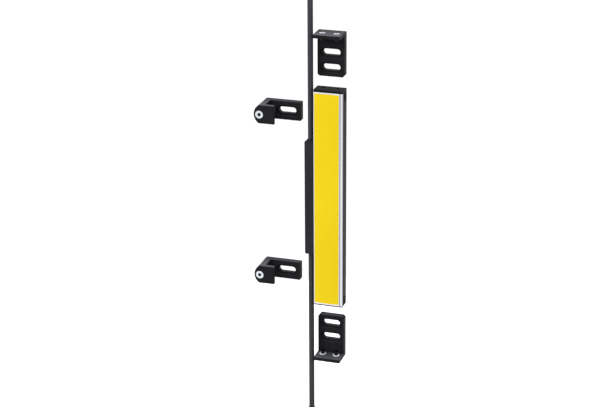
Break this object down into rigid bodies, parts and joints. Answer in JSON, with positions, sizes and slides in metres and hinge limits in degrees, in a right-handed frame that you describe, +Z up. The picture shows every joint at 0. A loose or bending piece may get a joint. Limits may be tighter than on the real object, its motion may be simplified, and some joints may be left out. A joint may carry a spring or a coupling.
{
  "type": "safety light curtain",
  "caption": "Slim safety light curtain bar with a yellow front, a side optic window, a side connection block with leads at each end, and slotted end and side brackets.",
  "frame": {"origin": "centre of the bar's flat back face", "axes": "+Z up along the bar, +Y out of the bar's back, +X towards the narrow side that carries the optic window"},
  "size_m": [0.0967, 0.028, 0.5474],
  "materials": {
    "black_extrusion": "black coated extrusion, satin",
    "dark_window": "near black infrared pass plastic, polished",
    "bright_tray": "bright drawn aluminium",
    "yellow_panel": "safety yellow, smooth satin",
    "cap_plastic": "black glass filled plastic",
    "seal_rubber": "soft black rubber",
    "board_laminate": "green laminate",
    "lens_plastic": "clear moulded lens plastic",
    "diode_plastic": "dark tinted plastic",
    "block_plastic": "black moulded plastic",
    "insert_plastic": "black contact carrier plastic",
    "screw_steel": "zinc plated steel",
    "cable_sheath": "black polyurethane sheath",
    "boot_plastic": "black overmoulded polyurethane",
    "nut_plating": "nickel plated brass",
    "pin_brass": "gold plated contact",
    "bracket_plastic": "black glass filled plastic, soft gloss"
  },
  "bodies": {
    "root": {"housing": "black_extrusion", "optic_window": "dark_window", "front_tray": "bright_tray", "front_panel": "yellow_panel", "top_cap": "cap_plastic", "bottom_cap": "cap_plastic", "top_seal": "seal_rubber", "bottom_seal": "seal_rubber", "circuit_board": "board_laminate", "lens_strip": "lens_plastic", "diodes": "diode_plastic", "connection_block": "block_plastic", "block_gasket": "seal_rubber", "contact_header": "insert_plastic", "block_screws": "screw_steel", "upper_grommet": "seal_rubber", "lower_grommet": "seal_rubber", "upper_cable": "cable_sheath", "lower_cable": "cable_sheath", "upper_boot": "boot_plastic", "lower_boot": "boot_plastic", "upper_nut": "nut_plating", "lower_nut": "nut_plating", "upper_insert": "insert_plastic", "lower_insert": "insert_plastic", "lower_pins": "pin_brass", "top_bracket": "bracket_plastic", "bottom_bracket": "bracket_plastic", "top_screws": "screw_steel", "bottom_screws": "screw_steel", "upper_clamp_plate": "bracket_plastic", "lower_clamp_plate": "bracket_plastic", "upper_clamp_jaw": "bracket_plastic", "lower_clamp_jaw": "bracket_plastic", "upper_clamp_screw": "screw_steel", "lower_clamp_screw": "screw_steel", "upper_clamp_nut": "screw_steel", "lower_clamp_nut": "screw_steel"}
  },
  "joints": []
}
